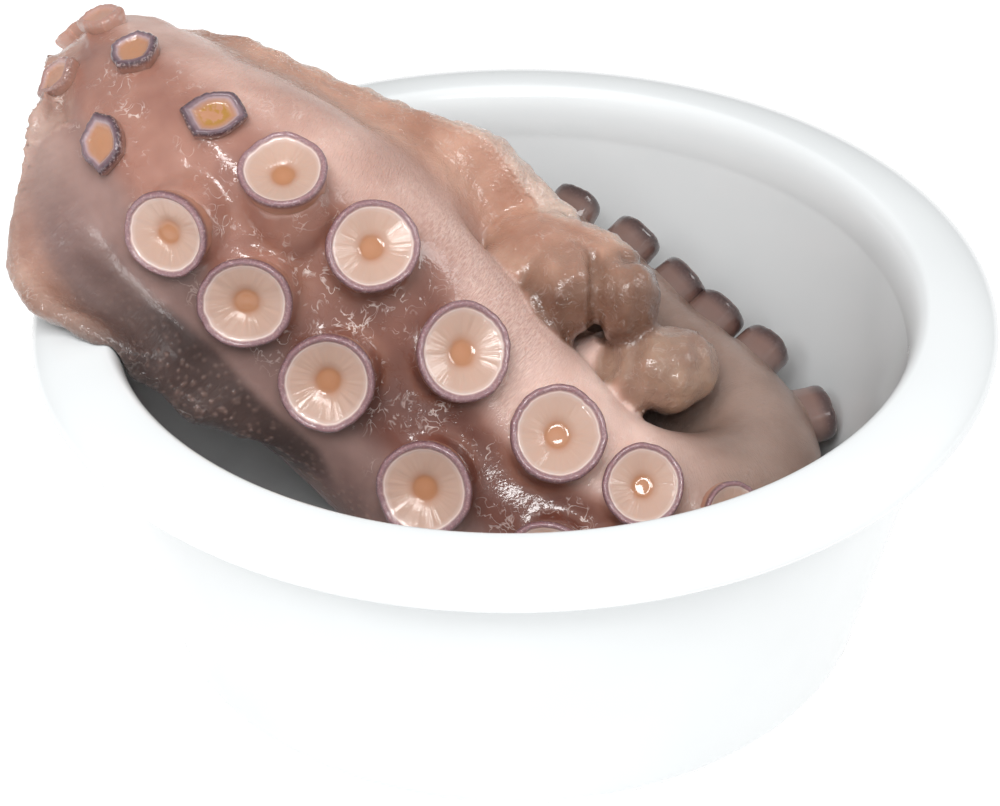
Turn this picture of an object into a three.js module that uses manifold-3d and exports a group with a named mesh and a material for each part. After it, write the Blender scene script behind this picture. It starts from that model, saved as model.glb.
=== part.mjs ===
// A cooked octopus arm folded into a thick-walled white bowl.
//
// Frame: millimetres, +Z up, origin at the centre of the bowl's flat underside.
// -Y is the front of the bowl. The arm's thick cut end hangs over the rim at the back left,
// the arm comes down towards the front right with its suckers facing forwards and up, turns
// on the floor of the bowl, and its thin end runs back along the right wall.
// The web, the skin that joined this arm to its neighbours, hangs from both sides of the
// thick half: over the rim on the left, and folded into soft lobes on the right.
import * as THREE from "three";
import { mergeVertices } from "three/addons/utils/BufferGeometryUtils.js";
import Module from "manifold-3d";

const wasm = await Module();
wasm.setup();

// ---------------------------------------------------------------- driving dimensions

const BOWL_RIM_RADIUS = 60; // outside of the lip
const BOWL_HEIGHT = 49;
const BOWL_CREST_RADIUS = 51.5; // highest ring of the rounded rim
const LIP_DEPTH = 3.5; // crest down to the widest ring
const LIP_UNDERSIDE = 7; // crest down to where the lip meets the wall
const WALL_TOP_RADIUS = 53.9; // outside of the wall under the lip
const WALL_FOOT_RADIUS = 44.5; // outside of the wall above the rounded foot
const FOOT_RADIUS = 35; // flat underside
const FOOT_ROUND = 5; // height of the rounded foot
const WALL = 5; // wall thickness
const FLOOR = 5; // floor thickness
const CLEARANCE = 0.35; // gap left between the octopus and the bowl

const ARM_STEPS = 41;
const ARM_SIDES = 16;
const SUCKER_HEIGHT = 0.26; // how far a sucker stands proud, over its diameter
const THIN_SUCKER_HEIGHT = 0.4; // the small ones on the thin half stand taller
const ROW_ANGLE = 0.4; // each sucker row sits this far round from the middle, in radians
const PAIR_PITCH = 1.1; // from one pair of suckers to the next, over their diameter
const PAIR_STAGGER = 0.6; // how far the right sucker of a pair is ahead, over its diameter
const THIN_PAIRS_FROM = 117.6; // down the arm, where the even rows of small suckers start
const BARE_TIP = 26; // length of the tip whose suckers are too small to see
const SUCKER_SIDES = 8;

// Stations down the arm from the cut end to the tip: the centre, the direction that the
// suckers face, half the arm's width and thickness, and the diameter of a sucker.
const STATIONS = [
  { at: [-49, 41.5, 56.5], faces: [-0.5, -0.1, 0.85], half: 8, deep: 9, sucker: 6.5 },
  { at: [-49.6, 29.2, 60.8], faces: [-0.36, -0.5, 0.78], half: 8.6, deep: 10, sucker: 6.5 },
  { at: [-43.5, 16.5, 61], faces: [-0.12, -0.72, 0.66], half: 13, deep: 11, sucker: 8 },
  { at: [-36.5, 11.1, 55.6], faces: [0, -0.83, 0.56], half: 18, deep: 12.5, sucker: 11.6 },
  { at: [-26, 8.2, 45.9], faces: [0, -0.83, 0.56], half: 19, deep: 13, sucker: 12.2 },
  { at: [-15, 4.1, 34.6], faces: [0, -0.83, 0.56], half: 18.6, deep: 13, sucker: 12.4 },
  { at: [-3.5, -1.2, 24.8], faces: [0, -0.83, 0.56], half: 17.5, deep: 12.3, sucker: 12.4 },
  { at: [8, -5.4, 19], faces: [0.08, -0.84, 0.52], half: 14.8, deep: 11.3, sucker: 11.4 },
  { at: [19.5, -5.6, 17], faces: [0.42, -0.84, 0.35], half: 12.4, deep: 10.4, sucker: 10 },
  { at: [29, 1.5, 17], faces: [0.96, -0.25, -0.5], half: 11.4, deep: 9.6, sucker: 7 },
  { at: [28.5, 11.3, 18.8], faces: [0.93, 0.35, 0], half: 10.7, deep: 8.8, sucker: 6.8 },
  { at: [18.4, 20.6, 24.4], faces: [0.72, 0.66, 0.2], half: 10, deep: 8.2, sucker: 6.8 },
  { at: [7.6, 29.3, 31.4], faces: [0.62, 0.72, 0.3], half: 9.2, deep: 7.6, sucker: 6.4 },
  { at: [-4, 33.8, 34.4], faces: [0.4, 0.9, 0.2], half: 8.2, deep: 6.8, sucker: 5.8 },
  { at: [-14.5, 33.4, 33.4], faces: [-0.1, 0.98, 0.15], half: 6.8, deep: 5.6, sucker: 5 },
  { at: [-25, 27.6, 30.5], faces: [-0.5, 0.85, 0.15], half: 5, deep: 4.2, sucker: 3.8 },
  { at: [-32.5, 20, 27], faces: [-0.7, 0.65, 0.2], half: 2.4, deep: 2, sucker: 2 },
];

// Free edges of the two webs, from the cut end down.
const RIGHT_WEB_EDGE = [
  [-47, 38, 67],
  [-37, 35.3, 66],
  [-30, 34.2, 64.4],
  [-22, 32.6, 60.4],
  [-11, 29.7, 56.1],
  [-3, 27.7, 55],
  [4.7, 23.3, 50.2],
  [10, 18.5, 46],
  [15.5, 15, 43],
];
const LEFT_WEB_EDGE = [
  [-57.5, 27, 66.5],
  [-58.5, 18, 65],
  [-60.3, 14, 61],
  [-61.5, 7, 56.5],
  [-62.8, 0, 53.5],
  [-59, -7, 52],
  [-53.5, -10.5, 50.4],
  [-48.5, -9.5, 44.5],
  [-43.6, -7.5, 39],
  [-37, -5, 33],
];

// The first suckers down the arm, left and right of each pair. They grow from the cut end,
// crowded where the arm was joined to the body, and are not quite even.
const FIRST_PAIRS = [
  { left: 6, right: 13, size: 6 },
  { left: 17.5, right: 23.5, size: 6.2 },
  { left: 28, right: 32, size: 7.4 },
  { left: 37.5, right: 41, size: 11 },
  { left: 48, right: 54.5, size: 11.8 },
  { left: 63.5, right: 72, size: 12.3 },
  { left: 81, right: 91, size: 12.3 },
  { left: 97, right: 105, size: 10.5 },
  { left: 108, right: 113.2, size: 8.2 },
];

// ---------------------------------------------------------------- small tools

const vec = (p) => new THREE.Vector3(...p);
const smoothstep = THREE.MathUtils.smoothstep;
const lerp = THREE.MathUtils.lerp;

// A three.js geometry with only its positions, and its shared corners merged.
function bare(geometry) {
  geometry.deleteAttribute("normal");
  geometry.deleteAttribute("uv");
  return mergeVertices(geometry, 1e-4);
}

// Moves every corner of a bare geometry by a function of where it was.
function reshape(geometry, move) {
  const position = geometry.attributes.position;
  for (let i = 0; i < position.count; i++) {
    const to = move(new THREE.Vector3().fromBufferAttribute(position, i));
    position.setXYZ(i, to.x, to.y, to.z);
  }
  return geometry;
}

// A bare closed geometry as a solid, turned to face outwards.
function solid(geometry) {
  const make = (triVerts) =>
    new wasm.Manifold(
      new wasm.Mesh({
        numProp: 3,
        vertProperties: new Float32Array(geometry.attributes.position.array),
        triVerts,
      }),
    );
  const triVerts = new Uint32Array(geometry.index.array);
  const made = make(triVerts);
  return made.volume() >= 0 ? made : make(triVerts.reverse());
}

function geometryOf(made) {
  const mesh = made.getMesh();
  const geometry = new THREE.BufferGeometry();
  geometry.setAttribute(
    "position",
    new THREE.BufferAttribute(new Float32Array(mesh.vertProperties), 3),
  );
  geometry.setIndex(new THREE.BufferAttribute(new Uint32Array(mesh.triVerts), 1));
  geometry.computeVertexNormals();
  return geometry;
}

// ---------------------------------------------------------------- bowl

// Points of a quarter ellipse from one end of its turn to the other.
function quarter(centre, radii, from, to, steps) {
  return Array.from({ length: steps + 1 }, (_, i) => {
    const angle = lerp(from, to, i / steps);
    return new THREE.Vector2(
      centre[0] + radii[0] * Math.cos(angle),
      centre[1] + radii[1] * Math.sin(angle),
    );
  });
}

// Radius of the inside of the wall at a height.
function insideRadius(z) {
  const slope = (WALL_TOP_RADIUS - WALL_FOOT_RADIUS) / (BOWL_HEIGHT - LIP_UNDERSIDE - FOOT_ROUND);
  return WALL_FOOT_RADIUS - WALL + slope * (z - FOOT_ROUND);
}

// The bowl's section, grown outwards by a gap, from the floor's centre round the rim to the underside.
function bowlProfile(gap) {
  const quarterTurn = Math.PI / 2;
  const cornerTop = FLOOR + 9;
  const innerTop = BOWL_HEIGHT - 7;
  const floorEdge = insideRadius(cornerTop) - 10;
  const lipUnder = BOWL_HEIGHT - LIP_UNDERSIDE;
  const crestHalf = BOWL_CREST_RADIUS - insideRadius(innerTop);
  return [
    new THREE.Vector2(0, FLOOR + gap),
    ...quarter([floorEdge, cornerTop], [10 - gap, 9 - gap], -quarterTurn, 0, 3),
    ...quarter([BOWL_CREST_RADIUS, innerTop], [crestHalf + gap, 7 + gap], Math.PI, quarterTurn, 3),
    ...quarter(
      [BOWL_CREST_RADIUS, BOWL_HEIGHT - LIP_DEPTH],
      [BOWL_RIM_RADIUS - BOWL_CREST_RADIUS + gap, LIP_DEPTH + gap],
      quarterTurn,
      0,
      4,
    ).slice(1),
    new THREE.Vector2(BOWL_RIM_RADIUS - 2 + gap, lipUnder + 2.2 - gap),
    new THREE.Vector2(WALL_TOP_RADIUS + 2 + gap, lipUnder + 0.3 - gap),
    new THREE.Vector2(WALL_TOP_RADIUS + gap, lipUnder - 1.5 - gap),
    ...quarter(
      [FOOT_RADIUS, FOOT_ROUND],
      [WALL_FOOT_RADIUS - FOOT_RADIUS + gap, FOOT_ROUND + gap],
      0,
      -quarterTurn,
      4,
    ),
    new THREE.Vector2(0, -gap),
  ];
}

function bowlGeometry(gap, sides) {
  return bare(new THREE.LatheGeometry(bowlProfile(gap), sides)).rotateX(Math.PI / 2);
}

// ---------------------------------------------------------------- arm

const spine = new THREE.CatmullRomCurve3(STATIONS.map((s) => vec(s.at)), false, "centripetal");
const facing = new THREE.CatmullRomCurve3(STATIONS.map((s) => vec(s.faces)), false, "centripetal");
const sizes = new THREE.CatmullRomCurve3(
  STATIONS.map((s) => new THREE.Vector3(s.half, s.deep, s.sucker)),
  false,
  "catmullrom",
);
spine.arcLengthDivisions = 600;
const ARM_LENGTH = spine.getLength();

// The arm's frame and sizes at a distance down it. Oral is where the suckers face.
function frameAt(distance) {
  const t = spine.getUtoTmapping(THREE.MathUtils.clamp(distance / ARM_LENGTH, 0, 1));
  const along = spine.getTangent(t);
  const oral = facing.getPoint(t);
  oral.addScaledVector(along, -oral.dot(along)).normalize();
  const side = new THREE.Vector3().crossVectors(oral, along);
  const [half, deep, sucker] = sizes.getPoint(t).toArray();
  return { centre: spine.getPoint(t), along, oral, side, half, deep, sucker };
}

// A point of the arm: across is -1 to 1 along the side direction, up is -1 to 1 along oral.
function armPoint(distance, across, up) {
  const f = frameAt(distance);
  const flare = 1 + 0.08 * up; // a little wider on the sucker side
  return f.centre
    .clone()
    .addScaledVector(f.side, f.half * flare * across)
    .addScaledVector(f.oral, f.deep * up);
}

function armSolid() {
  const tube = bare(new THREE.CylinderGeometry(1, 1, 1, ARM_SIDES, ARM_STEPS));
  return solid(
    reshape(tube, (p) => {
      const distance = (0.5 - p.y) * ARM_LENGTH;
      const ends = 0.86 + 0.14 * smoothstep(distance, 0, 4); // rounded edge of the cut
      return armPoint(distance, p.x * ends, p.z * ends);
    }),
  );
}

// ---------------------------------------------------------------- suckers

// Places down both rows: the first pairs, then staggered pairs that draw closer together.
function suckerPlaces() {
  const places = FIRST_PAIRS.flatMap(({ left, right, size }) => [
    { distance: left, row: -1, size },
    { distance: right, row: 1, size },
  ]);
  let distance = THIN_PAIRS_FROM;
  while (distance < ARM_LENGTH - BARE_TIP) {
    const size = frameAt(distance).sucker;
    const thin = { size, height: THIN_SUCKER_HEIGHT };
    places.push({ distance, row: -1, ...thin });
    places.push({ distance: distance + size * PAIR_STAGGER, row: 1, ...thin });
    distance += size * PAIR_PITCH;
  }
  return places;
}

// A sucker: a short flared cup with a rounded lip, a shallow dish and a small deep hole.
function suckerGeometry({ size, height = SUCKER_HEIGHT }) {
  const r = size / 2;
  const h = size * height;
  const profile = [
    [0, -h * 1.2],
    [r * 0.86, -h * 1.2],
    [r, h * 0.7],
    [r * 0.9, h],
    [r * 0.28, h * 0.72],
    [r * 0.16, h * 0.2],
    [0, h * 0.1],
  ];
  const points = profile.map(([x, y]) => new THREE.Vector2(x, y));
  return bare(new THREE.LatheGeometry(points, SUCKER_SIDES));
}

function suckerSolid(place) {
  const across = Math.sin(ROW_ANGLE) * place.row;
  const up = Math.cos(ROW_ANGLE);
  const seat = armPoint(place.distance, across, up);
  const f = frameAt(place.distance);
  const axis = f.oral
    .clone()
    .multiplyScalar(Math.cos(ROW_ANGLE * 0.6))
    .addScaledVector(f.side, Math.sin(ROW_ANGLE * 0.6) * place.row);
  const turn = new THREE.Quaternion().setFromUnitVectors(new THREE.Vector3(0, 1, 0), axis);
  const placed = new THREE.Matrix4().compose(seat, turn, new THREE.Vector3(1, 1, 1));
  return solid(suckerGeometry(place).applyMatrix4(placed));
}

// ---------------------------------------------------------------- web

// A thick sheet from a line on the arm to a free edge. share runs 0 to 1 down the web.
function webSolid({ from, to, across, up, edge, thick, swell, steps }) {
  const free = new THREE.CatmullRomCurve3(edge.map(vec), false, "centripetal");
  const middle = (anyShare, out) => {
    const share = THREE.MathUtils.clamp(anyShare, 0, 1);
    const distance = lerp(from, to, share);
    const root = armPoint(distance, across, up);
    const lift = swell * Math.sin(Math.PI * out);
    return root
      .lerp(free.getPoint(share), out)
      .addScaledVector(frameAt(distance).oral, lift);
  };
  const box = bare(new THREE.BoxGeometry(1, 1, 1, steps, 5, 1));
  return solid(
    reshape(box, (p) => {
      const share = p.x + 0.5;
      const out = p.y + 0.5;
      const step = 0.01;
      const here = middle(share, out);
      const down = middle(share + step, out).sub(middle(share - step, out));
      const outward = middle(share, out + step).sub(middle(share, out - step));
      const normal = down.cross(outward).normalize();
      const thickness = lerp(thick, thick * 0.6, out * out);
      return here.addScaledVector(normal, p.z * thickness);
    }),
  );
}

const RIGHT_WEB = {
  from: 4,
  to: 84,
  across: 0.6,
  up: -0.35,
  edge: RIGHT_WEB_EDGE,
  thick: 7,
  swell: -2.5,
  steps: 22,
};
const LEFT_WEB = {
  from: 3,
  to: 74,
  across: -0.72,
  up: 0.1,
  edge: LEFT_WEB_EDGE,
  thick: 6,
  swell: 2,
  steps: 22,
};

// The soft lobes where the end of the right web is folded up: centre, radii, turn about +Z.
const LOBES = [
  { at: [6.6, 9.3, 41.6], radii: [6, 6, 6.8], turn: 0.2 },
  { at: [13.8, 10.2, 40.8], radii: [5, 5.5, 6.4], turn: -0.3 },
  { at: [19, 6.2, 33], radii: [8, 5.5, 5.7], turn: 0.35 },
  { at: [13, 8.4, 30.4], radii: [9.5, 7.6, 7.4], turn: 0 },
];

function lobeSolid({ at, radii, turn }) {
  const ball = bare(new THREE.SphereGeometry(1, 11, 7));
  ball.scale(...radii).rotateZ(turn).translate(...at);
  return solid(ball);
}

// ---------------------------------------------------------------- the object

function octopusSolid() {
  const grown = [
    armSolid(),
    webSolid(RIGHT_WEB),
    webSolid(LEFT_WEB),
    ...LOBES.map(lobeSolid),
    ...suckerPlaces().map(suckerSolid),
  ];
  const whole = grown.reduce((sum, piece) => sum.add(piece));
  const seated = whole.subtract(solid(bowlGeometry(CLEARANCE, 44)));
  // The outer skin alone: folds of the web can close round slivers of air.
  return seated.decompose().reduce((a, b) => (a.volume() > b.volume() ? a : b));
}

function named(name, geometry, material) {
  const mesh = new THREE.Mesh(geometry, new THREE.MeshStandardMaterial(material));
  mesh.name = name;
  return mesh;
}

const group = new THREE.Group();
group.add(
  named("bowl", geometryOf(solid(bowlGeometry(0, 44))), {
    color: 0xf6f8f8,
    roughness: 0.25,
    metalness: 0,
  }),
  named("octopus_arm", geometryOf(octopusSolid()), {
    color: 0xb08a80,
    roughness: 0.35,
    metalness: 0,
  }),
);

export default group;
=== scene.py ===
"""A cooked octopus arm curled in a thick white bowl: its pieces, finishes, light and camera."""

import math
import random

import bmesh
import bpy
import numpy as np
from mathutils import Matrix, Vector, kdtree, noise


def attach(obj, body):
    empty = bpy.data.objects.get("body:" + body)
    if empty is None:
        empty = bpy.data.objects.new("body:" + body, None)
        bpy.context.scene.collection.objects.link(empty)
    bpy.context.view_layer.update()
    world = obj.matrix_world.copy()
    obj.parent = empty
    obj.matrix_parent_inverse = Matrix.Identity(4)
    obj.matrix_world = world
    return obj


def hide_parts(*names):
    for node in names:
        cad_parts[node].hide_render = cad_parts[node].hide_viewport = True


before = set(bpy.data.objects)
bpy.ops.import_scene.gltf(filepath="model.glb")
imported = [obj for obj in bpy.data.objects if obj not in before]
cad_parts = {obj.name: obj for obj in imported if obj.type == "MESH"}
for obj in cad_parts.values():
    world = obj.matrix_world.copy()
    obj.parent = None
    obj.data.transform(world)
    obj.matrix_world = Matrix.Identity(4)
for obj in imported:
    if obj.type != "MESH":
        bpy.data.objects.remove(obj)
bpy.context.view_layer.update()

MM = 0.001
UP = Vector((0, 0, 1))
WHOLE_TURN = 2 * math.pi

# ---------------------------------------------------------------- sizes, in millimetres

# The bowl. Its rim is a wide roll, its wall leans out a little, and its foot is rounded.
RIM_RADIUS = 60
BOWL_HEIGHT = 49
CREST_RADIUS = 51.5
LIP_DEPTH = 3.5
LIP_UNDERSIDE = 7
WALL_TOP_RADIUS = 53.9
WALL_FOOT_RADIUS = 44.5
FOOT_RADIUS = 35
FOOT_ROUND = 5
WALL = 5
FLOOR = 5
INNER_LIP_DEPTH = 7
INNER_CORNER = (10, 9)  # how far the round between floor and wall reaches in and up
BOWL_SEGMENTS = 256
RESTING_GAP = 0.2  # left between the octopus and the glaze

# Down the arm from the cut end to the tip: its middle, where its suckers face, half its
# width, half its thickness, and the diameter of a sucker.
STATIONS = [
    ((-49, 41.5, 56.5), (-0.5, -0.1, 0.85), 8, 9, 6.5),
    ((-49.6, 29.2, 60.8), (-0.36, -0.5, 0.78), 8.6, 10, 6.5),
    ((-43.5, 16.5, 61), (-0.12, -0.72, 0.66), 13, 11, 8),
    ((-36.5, 11.1, 55.6), (0, -0.83, 0.56), 18, 12.5, 11.6),
    ((-26, 8.2, 45.9), (0, -0.83, 0.56), 19, 13, 12.2),
    ((-15, 4.1, 34.6), (0, -0.83, 0.56), 18.6, 13, 12.4),
    ((-3.5, -1.2, 24.8), (0, -0.83, 0.56), 17.5, 12.3, 12.4),
    ((8, -5.4, 19), (0.08, -0.84, 0.52), 14.8, 11.3, 11.4),
    ((19.5, -5.6, 17), (0.42, -0.84, 0.35), 12.4, 10.4, 10),
    ((29, 1.5, 17), (0.96, -0.25, -0.5), 11.4, 9.6, 7),
    ((28.5, 11.3, 18.8), (0.93, 0.35, 0), 10.7, 8.8, 6.8),
    ((18.4, 20.6, 24.4), (0.72, 0.66, 0.2), 10, 8.2, 6.8),
    ((7.6, 29.3, 31.4), (0.62, 0.72, 0.3), 9.2, 7.6, 6.4),
    ((-4, 33.8, 34.4), (0.4, 0.9, 0.2), 8.2, 6.8, 5.8),
    ((-14.5, 33.4, 33.4), (-0.1, 0.98, 0.15), 6.8, 5.6, 5),
    ((-25, 27.6, 30.5), (-0.5, 0.85, 0.15), 5, 4.2, 3.8),
    ((-32.5, 20, 27), (-0.7, 0.65, 0.2), 2.4, 2, 2),
]
ARM_SAMPLES = 500
ARM_STEPS = 330
ARM_AROUND = 84
ROW_ANGLE = 0.4  # a row of suckers sits this far round from the middle, in radians
PAIR_PITCH = 1.1  # pair to pair on the thin half, over the sucker's diameter
PAIR_STAGGER = 0.6
THIN_PAIRS_FROM = 117.6
BARE_TIP = 8

# The suckers of the thick half: how far down the arm, their row (-1 left, 1 right, and less
# for one that sits nearer the middle), their diameter, and what is special about them. back is
# how far one leans back up the arm, out how far it leans outward, and fade how much of the
# skin's colour it has. The first ones are drawn shut by the cooking, each to its own outline:
# corners as degrees round from down the arm, and reach. One of them holds yellow bits.
FIRST_SUCKERS = [
    (6, -1, 5, {"fade": 0.8, "outline": [(20, 1.1), (110, 0.7), (200, 1.2), (290, 0.8)]}),
    (13, 1, 6, {"fade": 0.7, "outline": [(0, 0.9), (80, 1.1), (170, 0.9), (260, 1.1)]}),
    (17.5, -1, 6.4, {"fade": 0.45, "outline": [(10, 0.8), (75, 1.1), (190, 0.85), (260, 1.25)]}),
    (23.5, 1, 6.4, {"outline": [(5, 1), (85, 1.05), (140, 1.1), (215, 1), (290, 1.05)]}),
    (28, -1, 7.2, {"outline": [(-45, 1.25), (20, 0.8), (100, 0.9), (150, 1.2), (215, 0.75)]}),
    (32, 1, 7.6, {"bits": 1, "outline": [(46, 1.2), (99, 1), (219, 1.2), (278, 0.95)]}),
    (36.8, -0.86, 11, {"back": 0.1, "out": 0.42}),
    (41, 0.9, 11, {"back": 0.75, "out": 0.3}),
    (46.2, -0.84, 11.8, {"back": 0.2, "out": 0.12}),
    (53.7, 1, 11.8, {"back": 0.15}),
    (61.9, -0.8, 12.3, {"back": 0.08, "out": 0.12}),
    (72, 0.91, 12.3, {}),
    (81, -1, 12.3, {}),
    (91, 1, 12.3, {}),
    (97, -1, 10.5, {}),
    (105, 1, 10.5, {}),
    (108, -1, 8.2, {}),
    (113.2, 1, 8.2, {}),
]

RIGHT_WEB = {
    "from": 4,
    "to": 84,
    "across": 0.6,
    "up": (0.6, -0.35),
    "thick": 6.4,
    "turns_at": (0.5, 0.85),
    "swell": (0.8, -3.2),
    "roll": 1.9,
    "edge": [
        (-47, 38, 62.8),
        (-37, 35.3, 62.9),
        (-30, 34.2, 62),
        (-22, 32.6, 58.8),
        (-11, 29.7, 55.9),
        (-3, 27.7, 55),
        (4.7, 23.3, 50.2),
        (10, 18.5, 46),
        (15.5, 15, 43),
    ],
}
LEFT_WEB = {
    "from": 3,
    "to": 74,
    "across": -0.72,
    "up": (0.35, 0.15),
    "thick": 6,
    "turns_at": (0.2, 0.65),
    "swell": (2.5, 2.5),
    "roll": 0.7,
    "edge": [
        (-57.5, 27, 66.5),
        (-58.5, 18, 65),
        (-60.3, 14, 61),
        (-61.5, 7, 56.5),
        (-62.8, 0, 53.5),
        (-59, -7, 52),
        (-53.5, -10.5, 50.4),
        (-48.5, -9.5, 44.5),
        (-43.6, -7.5, 39),
        (-37, -5, 33),
    ],
}

RUFFLE_SEED = 37  # fixes the ruffle of the webs' free edges

# Soft lobes where the end of the right web folds up: centre, radii, turn about the vertical.
HANGING_LOBES = [
    ((6.6, 9.5, 42.2), (5.6, 5.5, 6), 0.2),
    ((13.9, 10, 41), (4.7, 5.5, 5.8), -0.3),
]
LOW_LOBES = [
    ((19, 6, 32.9), (7.5, 5.5, 5.6), 0.35),
]

# What joins the lobes to the end of the web above them and to each other below.
LOBE_ROOTS = [
    ((3, 15, 45.8), (6, 6, 4), 0.2),
    ((10, 15, 45), (7, 5, 3.2), -0.2),
    ((12.4, 9.5, 30.8), (7.8, 5.5, 5), 0),
]
FOLD_AT = 10.4  # the X of the deep fold between the hanging lobes

SKIN_VOXEL = 0.52
SKIN_LIMIT = 198000  # triangles
WEB_STEPS = 150
WEB_AROUND = 64
WEB_SPOTS = (24, 90)  # places looked up on each web, out from the arm and down it
ROOT_ROUNDS = 70  # rounds of smoothing where the webs grow out of the arm
LOBE_ROUNDS = 8
HOLLOW_ROUNDS = 14
BLOCK = 20000  # points that are worked on at once


# ---------------------------------------------------------------- small tools


def linear(code):
    """An sRGB hex colour as the linear values that a shader takes."""
    parts = [int(code[i : i + 2], 16) / 255 for i in (1, 3, 5)]
    line = [c / 12.92 if c <= 0.04045 else ((c + 0.055) / 1.055) ** 2.4 for c in parts]
    return (*line, 1.0)


def smooth_share(value, low, high):
    """0 below low and 1 above high, with a smooth rise between; takes a number or an array."""
    t = np.clip((value - low) / (high - low), 0, 1)
    return t * t * (3 - 2 * t)


def spline_point(points, share, even=False):
    """A point of the smooth curve through the points, share of the way through its spans.
    even takes the spans as equally long; otherwise long spans get a wider sweep."""
    last = len(points) - 1
    place = min(max(share, 0.0), 1.0) * last
    first = min(int(place), last - 1)
    t = place - first
    b, c = points[first], points[first + 1]
    a = points[first - 1] if first > 0 else 2 * b - c
    d = points[first + 2] if first + 2 <= last else 2 * c - b
    if even:
        start, end = (c - a) / 2, (d - b) / 2
    else:
        ab, bc, cd = (max(np.linalg.norm(q - p), 1e-8) ** 0.5 for p, q in ((a, b), (b, c), (c, d)))
        start = bc * ((b - a) / ab - (c - a) / (ab + bc) + (c - b) / bc)
        end = bc * ((c - b) / bc - (d - b) / (bc + cd) + (d - c) / cd)
    cube = 2 * b - 2 * c + start + end
    square = -3 * b + 3 * c - 2 * start - end
    return ((cube * t + square) * t + start) * t + b


def add_shape(target, source):
    """Adds everything in one bmesh to another, and frees it."""
    passing = bpy.data.meshes.new("passing")
    source.to_mesh(passing)
    target.from_mesh(passing)
    bpy.data.meshes.remove(passing)
    source.free()


def make_piece(name, bm, finish, replaces):
    """A finished piece: a mesh object at the origin, on the one body, in place of a solid."""
    mesh = bpy.data.meshes.new(name)
    bm.to_mesh(mesh)
    bm.free()
    return dress_piece(name, mesh, finish, replaces)


def dress_piece(name, mesh, finish, replaces):
    """Makes a mesh a smooth-shaded piece with its finish and body, in place of a solid."""
    mesh.name = name
    mesh.materials.clear()
    mesh.materials.append(finish)
    mesh.polygons.foreach_set("use_smooth", [True] * len(mesh.polygons))
    piece = bpy.data.objects.new(name, mesh)
    bpy.context.scene.collection.objects.link(piece)
    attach(piece, "root")
    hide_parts(replaces)
    return piece


def add_node(material, kind, settings=None, **links):
    """Adds a node. settings are its own values; links are its inputs, by name with _ for a
    space, or in_N for input N: a plain value, or another node's output."""
    node = material.node_tree.nodes.new(kind)
    for key, value in (settings or {}).items():
        setattr(node, key, value)
    for key, value in links.items():
        place = int(key[3:]) if key.startswith("in_") else key.replace("_", " ")
        socket = node.inputs[place]
        if isinstance(value, bpy.types.NodeSocket):
            material.node_tree.links.new(value, socket)
        else:
            socket.default_value = value
    return node


def set_ramp(node, stops):
    """Fills a colour ramp node from (place, hex colour or grey 0 to 1) stops."""
    band = node.color_ramp
    while len(band.elements) > 1:
        band.elements.remove(band.elements[-1])
    for i, (place, colour) in enumerate(stops):
        stop = band.elements[0] if i == 0 else band.elements.new(place)
        stop.position = place
        stop.color = linear(colour) if isinstance(colour, str) else (colour, colour, colour, 1)
    return node


def new_material(name):
    material = bpy.data.materials.new(name)
    material.use_nodes = True
    material.node_tree.nodes.clear()
    return material


def finish_material(material, shader):
    out = material.node_tree.nodes.new("ShaderNodeOutputMaterial")
    material.node_tree.links.new(shader.outputs[0], out.inputs["Surface"])
    return material


# ---------------------------------------------------------------- camera

CAMERA_TARGET = Vector((-1.94, 0, 32.1)) * MM
CAMERA_DISTANCE = 505 * MM
CAMERA_ELEVATION = math.radians(34.2)
CAMERA_ROLL = math.radians(-0.58)
CAMERA_LENS = 143.8
SENSOR_WIDTH = 36


def place_camera():
    camera = bpy.data.objects.new("camera", bpy.data.cameras.new("camera"))
    camera.data.lens = CAMERA_LENS
    camera.data.sensor_width = SENSOR_WIDTH
    camera.data.clip_start = 0.01
    back = Vector((0, -math.cos(CAMERA_ELEVATION), math.sin(CAMERA_ELEVATION)))
    turn = Matrix.Rotation(math.pi / 2 - CAMERA_ELEVATION, 4, "X")
    roll = Matrix.Rotation(CAMERA_ROLL, 4, "Z")
    camera.matrix_world = Matrix.Translation(CAMERA_TARGET + back * CAMERA_DISTANCE) @ turn @ roll
    bpy.context.scene.collection.objects.link(camera)
    bpy.context.scene.camera = camera


place_camera()


# ---------------------------------------------------------------- finishes


def make_porcelain():
    """White glazed porcelain, slip cast and fired: a clean cool white with a clear glassy
    gloss, very slightly uneven where the glaze pooled."""
    m = new_material("white glazed porcelain")
    place = add_node(m, "ShaderNodeTexCoord").outputs["Object"]
    # glaze waves about 25 mm long
    wave = add_node(m, "ShaderNodeTexNoise", Vector=place, Scale=40.0, Detail=2.0)
    tint = add_node(m, "ShaderNodeValToRGB", Fac=wave.outputs["Fac"])
    set_ramp(tint, [(0.35, "#dcdfe0"), (0.65, "#dfe2e3")])
    bump = add_node(m, "ShaderNodeBump", Height=wave.outputs["Fac"], Strength=0.06, Distance=0.001)
    shader = add_node(
        m, "ShaderNodeBsdfPrincipled", Base_Color=tint.outputs["Color"], Roughness=0.16, IOR=1.5,
        Normal=bump.outputs["Normal"], Coat_Weight=0.4, Coat_Roughness=0.05,
    )
    return finish_material(m, shader)


COLOUR_MIX = {"data_type": "RGBA", "clamp_factor": True}
TIMES = {"operation": "MULTIPLY"}
TIMES_PLUS = {"operation": "MULTIPLY_ADD"}

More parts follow.
